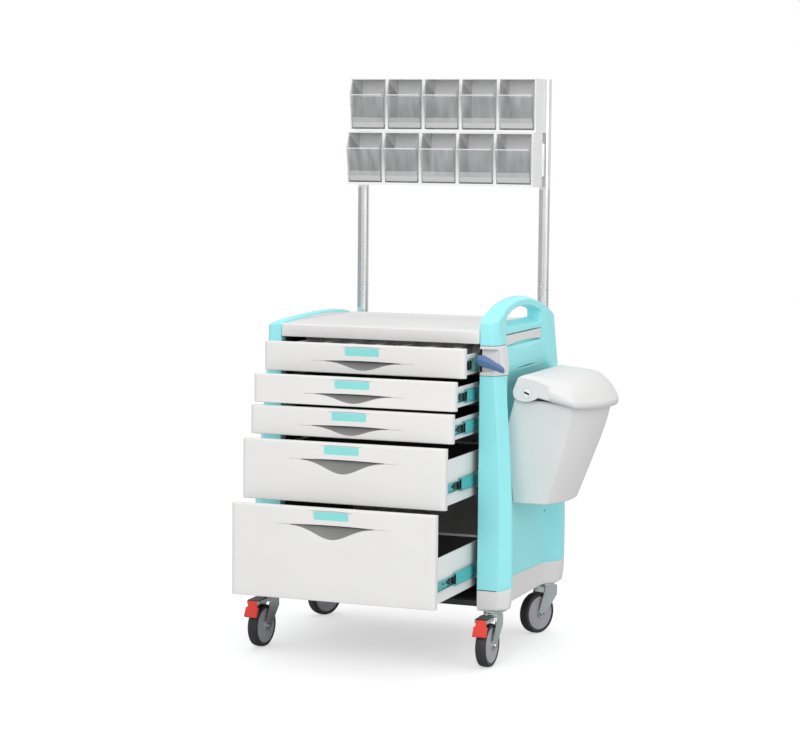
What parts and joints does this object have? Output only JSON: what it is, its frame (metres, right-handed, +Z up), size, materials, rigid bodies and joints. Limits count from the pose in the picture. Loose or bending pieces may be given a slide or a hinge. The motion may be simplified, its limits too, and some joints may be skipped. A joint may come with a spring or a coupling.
{
  "type": "crash cart",
  "caption": "Ward trolley with pull-out drawers, tilt bins on a rear mast, a lidded waste bin, a side shelf, a lock lever and braked swivel castors.",
  "frame": {"origin": "floor level, at the middle of the footprint rectangle of the whole cart as posed (drawers partly open)", "axes": "+X to the user's right (the waste-bin side), -Y towards the user (the drawer fronts), +Z up"},
  "size_m": [1.0321, 0.969, 1.6804],
  "materials": {
    "turquoise_abs": "satin moulded ABS",
    "light_grey_abs": "satin moulded ABS",
    "blue_plastic": "satin moulded plastic",
    "zinc_steel": "zinc plated",
    "dark_sheet_steel": "black powder coat",
    "grey_sheet_steel": "grey powder coat",
    "white_abs": "satin moulded ABS",
    "aluminium": "satin anodised extrusion",
    "clear_plastic": "clear polystyrene",
    "bin_plastic": "fine-grained moulded plastic",
    "chrome_steel": "polished",
    "wheel_rubber": "non-marking tread on a grey hub",
    "red_plastic": "satin moulded plastic"
  },
  "bodies": {
    "cart": {"side_panel_right": "turquoise_abs", "side_panel_left": "turquoise_abs", "handle_cap_right": "turquoise_abs", "edge_cap_left": "turquoise_abs", "side_skirts": "light_grey_abs", "lock_housing": "light_grey_abs", "worktop": "light_grey_abs", "carcass_frame": "dark_sheet_steel", "back_panel": "dark_sheet_steel", "base_frame": "dark_sheet_steel", "slide_outer_members": "zinc_steel", "mast_posts": "aluminium", "mast_brackets": "aluminium", "tilt_housing_upper": "white_abs", "tilt_housing_lower": "white_abs", "waste_bin": "bin_plastic", "waste_bin_hanger": "dark_sheet_steel", "castor_plates": "zinc_steel"},
    "drawer_1": {"drawer_1_front": "light_grey_abs", "drawer_1_box": "grey_sheet_steel", "drawer_1_dividers": "white_abs"},
    "slide_1": {"slide_1_middle": "zinc_steel"},
    "drawer_2": {"drawer_2_front": "light_grey_abs", "drawer_2_box": "grey_sheet_steel"},
    "slide_2": {"slide_2_middle": "zinc_steel"},
    "drawer_3": {"drawer_3_front": "light_grey_abs", "drawer_3_box": "grey_sheet_steel"},
    "slide_3": {"slide_3_middle": "zinc_steel"},
    "drawer_4": {"drawer_4_front": "light_grey_abs", "drawer_4_box": "grey_sheet_steel"},
    "slide_4": {"slide_4_middle": "zinc_steel"},
    "drawer_5": {"drawer_5_front": "light_grey_abs", "drawer_5_box": "grey_sheet_steel"},
    "slide_5": {"slide_5_middle": "zinc_steel"},
    "lock_lever": {"lock_lever": "blue_plastic"},
    "lock_bar": {"lock_bar": "zinc_steel"},
    "side_shelf": {"side_shelf": "light_grey_abs"},
    "waste_bin_lid": {"waste_bin_lid": "bin_plastic"},
    "tilt_bin_upper_1": {"tilt_bin_upper_1": "clear_plastic"},
    "tilt_bin_upper_2": {"tilt_bin_upper_2": "clear_plastic"},
    "tilt_bin_upper_3": {"tilt_bin_upper_3": "clear_plastic"},
    "tilt_bin_upper_4": {"tilt_bin_upper_4": "clear_plastic"},
    "tilt_bin_upper_5": {"tilt_bin_upper_5": "clear_plastic"},
    "tilt_bin_lower_1": {"tilt_bin_lower_1": "clear_plastic"},
    "tilt_bin_lower_2": {"tilt_bin_lower_2": "clear_plastic"},
    "tilt_bin_lower_3": {"tilt_bin_lower_3": "clear_plastic"},
    "tilt_bin_lower_4": {"tilt_bin_lower_4": "clear_plastic"},
    "tilt_bin_lower_5": {"tilt_bin_lower_5": "clear_plastic"},
    "castor_front_right_fork": {"castor_front_right_fork": "chrome_steel"},
    "castor_front_right_wheel": {"castor_front_right_wheel": "wheel_rubber"},
    "brake_pedal_right": {"brake_pedal_right": "red_plastic"},
    "castor_front_left_fork": {"castor_front_left_fork": "chrome_steel"},
    "castor_front_left_wheel": {"castor_front_left_wheel": "wheel_rubber"},
    "brake_pedal_left": {"brake_pedal_left": "red_plastic"},
    "castor_rear_right_fork": {"castor_rear_right_fork": "chrome_steel"},
    "castor_rear_right_wheel": {"castor_rear_right_wheel": "wheel_rubber"},
    "castor_rear_left_fork": {"castor_rear_left_fork": "chrome_steel"},
    "castor_rear_left_wheel": {"castor_rear_left_wheel": "wheel_rubber"}
  },
  "joints": [
    {"name": "drawer_1_slide", "type": "slide", "parent": "cart", "child": "drawer_1", "axis": [0, -1, 0], "range_m": [-0.122, 0.278]},
    {"name": "slide_1_extension", "type": "slide", "parent": "cart", "child": "slide_1", "axis": [0, -1, 0], "range_m": [-0.061, 0.139]},
    {"name": "drawer_2_slide", "type": "slide", "parent": "cart", "child": "drawer_2", "axis": [0, -1, 0], "range_m": [-0.195, 0.205]},
    {"name": "slide_2_extension", "type": "slide", "parent": "cart", "child": "slide_2", "axis": [0, -1, 0], "range_m": [-0.0975, 0.1025]},
    {"name": "drawer_3_slide", "type": "slide", "parent": "cart", "child": "drawer_3", "axis": [0, -1, 0], "range_m": [-0.216, 0.184]},
    {"name": "slide_3_extension", "type": "slide", "parent": "cart", "child": "slide_3", "axis": [0, -1, 0], "range_m": [-0.108, 0.092]},
    {"name": "drawer_4_slide", "type": "slide", "parent": "cart", "child": "drawer_4", "axis": [0, -1, 0], "range_m": [-0.2695, 0.1305]},
    {"name": "slide_4_extension", "type": "slide", "parent": "cart", "child": "slide_4", "axis": [0, -1, 0], "range_m": [-0.13475, 0.06525]},
    {"name": "drawer_5_slide", "type": "slide", "parent": "cart", "child": "drawer_5", "axis": [0, -1, 0], "range_m": [-0.342, 0.058]},
    {"name": "slide_5_extension", "type": "slide", "parent": "cart", "child": "slide_5", "axis": [0, -1, 0], "range_m": [-0.171, 0.029]},
    {"name": "lock_lever_turn", "type": "hinge", "parent": "cart", "child": "lock_lever", "pos_m": [0.2105, -0.1465, 0.874], "axis": [0, 1, 0], "range_deg": [0, 70]},
    {"name": "lock_bar_lift", "type": "slide", "parent": "cart", "child": "lock_bar", "axis": [0, 0, 1], "range_m": [0, 0.0242]},
    {"name": "side_shelf_slide", "type": "slide", "parent": "cart", "child": "side_shelf", "axis": [1, 0, 0], "range_m": [0, 0.3]},
    {"name": "waste_bin_lid_hinge", "type": "hinge", "parent": "cart", "child": "waste_bin_lid", "pos_m": [0.3135, 0.1395, 0.779], "axis": [0, -1, 0], "range_deg": [0, 48]},
    {"name": "tilt_bin_upper_1_tilt", "type": "hinge", "parent": "cart", "child": "tilt_bin_upper_1", "pos_m": [-0.3475, 0.368, 1.5344], "axis": [1, 0, 0], "range_deg": [0, 45]},
    {"name": "tilt_bin_upper_2_tilt", "type": "hinge", "parent": "cart", "child": "tilt_bin_upper_2", "pos_m": [-0.2275, 0.368, 1.5344], "axis": [1, 0, 0], "range_deg": [0, 45]},
    {"name": "tilt_bin_upper_3_tilt", "type": "hinge", "parent": "cart", "child": "tilt_bin_upper_3", "pos_m": [-0.1075, 0.368, 1.5344], "axis": [1, 0, 0], "range_deg": [0, 45]},
    {"name": "tilt_bin_upper_4_tilt", "type": "hinge", "parent": "cart", "child": "tilt_bin_upper_4", "pos_m": [0.0125, 0.368, 1.5344], "axis": [1, 0, 0], "range_deg": [0, 45]},
    {"name": "tilt_bin_upper_5_tilt", "type": "hinge", "parent": "cart", "child": "tilt_bin_upper_5", "pos_m": [0.1325, 0.368, 1.5344], "axis": [1, 0, 0], "range_deg": [0, 45]},
    {"name": "tilt_bin_lower_1_tilt", "type": "hinge", "parent": "cart", "child": "tilt_bin_lower_1", "pos_m": [-0.3475, 0.3455, 1.3714], "axis": [1, 0, 0], "range_deg": [0, 45]},
    {"name": "tilt_bin_lower_2_tilt", "type": "hinge", "parent": "cart", "child": "tilt_bin_lower_2", "pos_m": [-0.2275, 0.3455, 1.3714], "axis": [1, 0, 0], "range_deg": [0, 45]},
    {"name": "tilt_bin_lower_3_tilt", "type": "hinge", "parent": "cart", "child": "tilt_bin_lower_3", "pos_m": [-0.1075, 0.3455, 1.3714], "axis": [1, 0, 0], "range_deg": [0, 45]},
    {"name": "tilt_bin_lower_4_tilt", "type": "hinge", "parent": "cart", "child": "tilt_bin_lower_4", "pos_m": [0.0125, 0.3455, 1.3714], "axis": [1, 0, 0], "range_deg": [0, 45]},
    {"name": "tilt_bin_lower_5_tilt", "type": "hinge", "parent": "cart", "child": "tilt_bin_lower_5", "pos_m": [0.1325, 0.3455, 1.3714], "axis": [1, 0, 0], "range_deg": [0, 45]},
    {"name": "castor_front_right_swivel", "type": "hinge", "parent": "cart", "child": "castor_front_right_fork", "pos_m": [0.2365, -0.1135, 0.148], "axis": [0, 0, 1], "continuous": true},
    {"name": "castor_front_right_roll", "type": "hinge", "parent": "castor_front_right_fork", "child": "castor_front_right_wheel", "pos_m": [0.23545, -0.15349, 0.0625], "axis": [0.9997, -0.0262, 0], "continuous": true},
    {"name": "brake_pedal_right_press", "type": "hinge", "parent": "castor_front_right_fork", "child": "brake_pedal_right", "pos_m": [0.23414, -0.20347, 0.138], "axis": [-0.9997, 0.0262, 0], "range_deg": [0, 30]},
    {"name": "castor_front_left_swivel", "type": "hinge", "parent": "cart", "child": "castor_front_left_fork", "pos_m": [-0.4655, -0.1135, 0.148], "axis": [0, 0, 1], "continuous": true},
    {"name": "castor_front_left_roll", "type": "hinge", "parent": "castor_front_left_fork", "child": "castor_front_left_wheel", "pos_m": [-0.46864, -0.15338, 0.0625], "axis": [0.9969, -0.0785, 0], "continuous": true},
    {"name": "brake_pedal_left_press", "type": "hinge", "parent": "castor_front_left_fork", "child": "brake_pedal_left", "pos_m": [-0.47256, -0.20322, 0.138], "axis": [-0.9969, 0.0785, 0], "range_deg": [0, 30]},
    {"name": "castor_rear_right_swivel", "type": "hinge", "parent": "cart", "child": "castor_rear_right_fork", "pos_m": [0.2365, 0.3955, 0.148], "axis": [0, 0, 1], "continuous": true},
    {"name": "castor_rear_right_roll", "type": "hinge", "parent": "castor_rear_right_fork", "child": "castor_rear_right_wheel", "pos_m": [0.2196, 0.35925, 0.0625], "axis": [0.9063, -0.4226, 0], "continuous": true},
    {"name": "castor_rear_left_swivel", "type": "hinge", "parent": "cart", "child": "castor_rear_left_fork", "pos_m": [-0.4655, 0.3955, 0.148], "axis": [0, 0, 1], "continuous": true},
    {"name": "castor_rear_left_roll", "type": "hinge", "parent": "castor_rear_left_fork", "child": "castor_rear_left_wheel", "pos_m": [-0.48177, 0.35896, 0.0625], "axis": [0.9135, -0.4067, 0], "continuous": true}
  ],
  "couplings": [
    {"joint": "slide_1_extension", "follows": "drawer_1_slide", "ratio": 0.5},
    {"joint": "slide_2_extension", "follows": "drawer_2_slide", "ratio": 0.5},
    {"joint": "slide_3_extension", "follows": "drawer_3_slide", "ratio": 0.5},
    {"joint": "slide_4_extension", "follows": "drawer_4_slide", "ratio": 0.5},
    {"joint": "slide_5_extension", "follows": "drawer_5_slide", "ratio": 0.5},
    {"joint": "lock_bar_lift", "follows": "lock_lever_turn", "m_per_rad": 0.019644}
  ]
}
